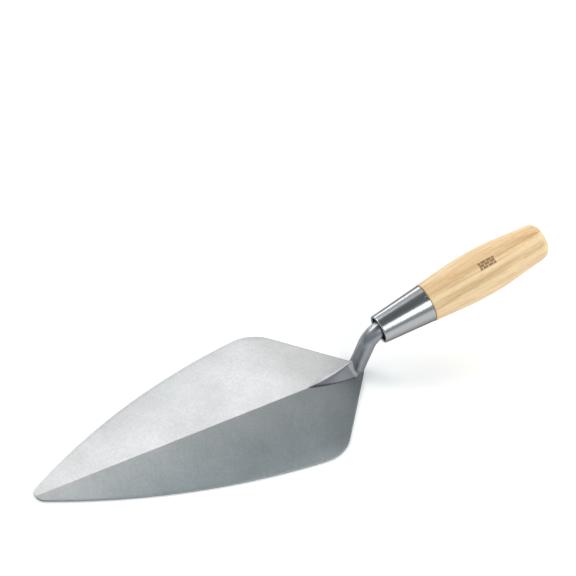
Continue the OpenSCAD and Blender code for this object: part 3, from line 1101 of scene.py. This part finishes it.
class TROWEL_OT_handle(bpy.types.Operator):
    """Builds the turned wooden handle with the hole for the tang"""

    bl_idname = "trowel.handle"
    bl_label = "Handle"

    def execute(self, context):
        scene = context.scene
        sizes = scene.trowel_handle
        knee = Knee(scene)
        wood = clear_wood(scene, knee)
        handle = turned_piece(
            "trowel_handle", handle_profile(scene, knee), knee, scene.trowel_ferrule.segments, wood
        )
        tidy_mesh(handle)
        hole = tang_solid(scene, knee, sizes.tang_fit, sizes.tang_gap, 2.5)
        tidy_mesh(hole)
        combine(handle, hole, "DIFFERENCE")
        tidy_mesh(handle)
        smooth_by_angle(handle, radians(35))
        fill_slot(handle, wood)
        finish_piece(handle, "handle")
        return {"FINISHED"}


# ------------------------------------------------------------- the stage


def softbox(name, azimuth, elevation, distance, width, height, radiance, colour=(1, 1, 1)):
    """An area light at a direction from the tool, in degrees from +X towards +Y, facing the tool."""
    light = bpy.data.lights.new(name, "AREA")
    light.shape = "RECTANGLE"
    light.size = width
    light.size_y = height
    light.energy = radiance * pi * width * height
    light.color = colour
    lamp = bpy.data.objects.new(name, light)
    a, e = radians(azimuth), radians(elevation)
    way = Vector((cos(a) * cos(e), sin(a) * cos(e), sin(e)))
    lamp.location = way * distance
    lamp.rotation_euler = way.to_track_quat("Z", "Y").to_euler()
    bpy.context.scene.collection.objects.link(lamp)
    return lamp


def studio_sky():
    """A dim ceiling over a lighter band of wall."""
    world = bpy.data.worlds.new("studio")
    bpy.context.scene.world = world
    world.use_nodes = True
    tree = world.node_tree
    way = tree.nodes.new("ShaderNodeTexCoord").outputs["Generated"]
    height = add_node(tree, "ShaderNodeSeparateXYZ", Vector=way).outputs["Z"]
    tone = ramp(
        tree, height, (0.0, 0.8), (0.12, 0.42), (0.4, 0.5), (0.5, 0.75), (0.8, 0.75), (0.88, 0.17), (1.0, 0.2)
    )
    background = next(n for n in tree.nodes if n.type == "BACKGROUND")
    cool = mix_colour(tree, 1.0, tone, (0.93, 1.0, 1.03, 1), "MULTIPLY")
    tree.links.new(cool, background.inputs["Color"])
    background.inputs["Strength"].default_value = 1


def floor_material():
    material, _, shader, _ = new_material("pale_floor")
    shader.inputs["Base Color"].default_value = (0.93, 0.93, 0.93, 1)
    shader.inputs["Roughness"].default_value = 0.9
    shader.inputs["Specular IOR Level"].default_value = 0
    shader.inputs["Emission Color"].default_value = (1, 1, 1, 1)
    shader.inputs["Emission Strength"].default_value = 0.1
    return material


def add_camera(sizes):
    """A long lens, rolled a little about its own axis."""
    a, e, roll = sizes.azimuth, sizes.elevation, sizes.roll
    back = Vector((sin(a) * cos(e), -cos(a) * cos(e), sin(e)))
    right = (-back).cross(Vector((0, 0, 1))).normalized()
    up = right.cross(-back)
    tilted_right = right * cos(roll) + up * sin(roll)
    tilted_up = up * cos(roll) - right * sin(roll)
    place = Vector(sizes.aim) + back * sizes.distance
    data = bpy.data.cameras.new("camera")
    data.lens = sizes.lens
    data.sensor_width = 36
    camera = bpy.data.objects.new("camera", data)
    turn = Matrix((tilted_right, tilted_up, back)).transposed().to_4x4()
    camera.matrix_world = Matrix.Translation(place) @ turn
    bpy.context.scene.collection.objects.link(camera)
    bpy.context.scene.camera = camera


class TROWEL_OT_stage(bpy.types.Operator):
    """Adds the floor, the studio lights and the camera"""

    bl_idname = "trowel.stage"
    bl_label = "Stage"

    def execute(self, context):
        sizes = context.scene.trowel_stage
        half = sizes.floor_size / 2 / MM
        # A little below the blade, so that the two never lie in one plane
        drop = -0.3
        floor = mesh_object(
            "floor", [(-half, -half, drop), (half, -half, drop), (half, half, drop), (-half, half, drop)],
            [(0, 1, 2, 3)],
        )
        fill_slot(floor, floor_material())
        studio_sky()
        warm = (1.0, 0.985, 0.97)
        softbox("key", -76, 44, 1.8, 0.85, 0.9, 3.8)
        softbox("far_strip", 84, 13, 2.2, 1.4, 0.5, 3.6, warm)
        softbox("right_panel", 8, 45, 1.9, 1.0, 1.0, 4.2, warm)
        softbox("back_left", 119, 42, 1.9, 0.9, 0.9, 4.2, warm)
        add_camera(sizes)
        context.scene.view_settings.view_transform = "Standard"
        return {"FINISHED"}


class TROWEL_PT_panel(bpy.types.Panel):
    """Lists the trowel's pieces in the sidebar"""

    bl_idname = "TROWEL_PT_panel"
    bl_label = "Brick Trowel"
    bl_space_type = "VIEW_3D"
    bl_region_type = "UI"
    bl_category = "Trowel"

    def draw(self, context):
        for operator in OPERATORS:
            self.layout.operator(operator.bl_idname)
        for name, group in GROUPS:
            box = self.layout.box()
            sizes = getattr(context.scene, name)
            for key in group.__annotations__:
                box.prop(sizes, key)


GROUPS = (
    ("trowel_blade", BladeSizes),
    ("trowel_shank", ShankSizes),
    ("trowel_ferrule", FerruleSizes),
    ("trowel_handle", HandleSizes),
    ("trowel_stage", StageSizes),
)
OPERATORS = (TROWEL_OT_stage, TROWEL_OT_blade, TROWEL_OT_shank, TROWEL_OT_ferrule, TROWEL_OT_handle)


def register():
    for name, group in GROUPS:
        bpy.utils.register_class(group)
        setattr(bpy.types.Scene, name, PointerProperty(type=group))
    for operator in OPERATORS:
        bpy.utils.register_class(operator)
    bpy.utils.register_class(TROWEL_PT_panel)


def unregister():
    bpy.utils.unregister_class(TROWEL_PT_panel)
    for operator in reversed(OPERATORS):
        bpy.utils.unregister_class(operator)
    for name, group in reversed(GROUPS):
        delattr(bpy.types.Scene, name)
        bpy.utils.unregister_class(group)


def main():
    register()
    bpy.ops.trowel.stage()
    bpy.ops.trowel.blade()
    bpy.ops.trowel.shank()
    bpy.ops.trowel.ferrule()
    bpy.ops.trowel.handle()


if __name__ == "__main__":
    main()
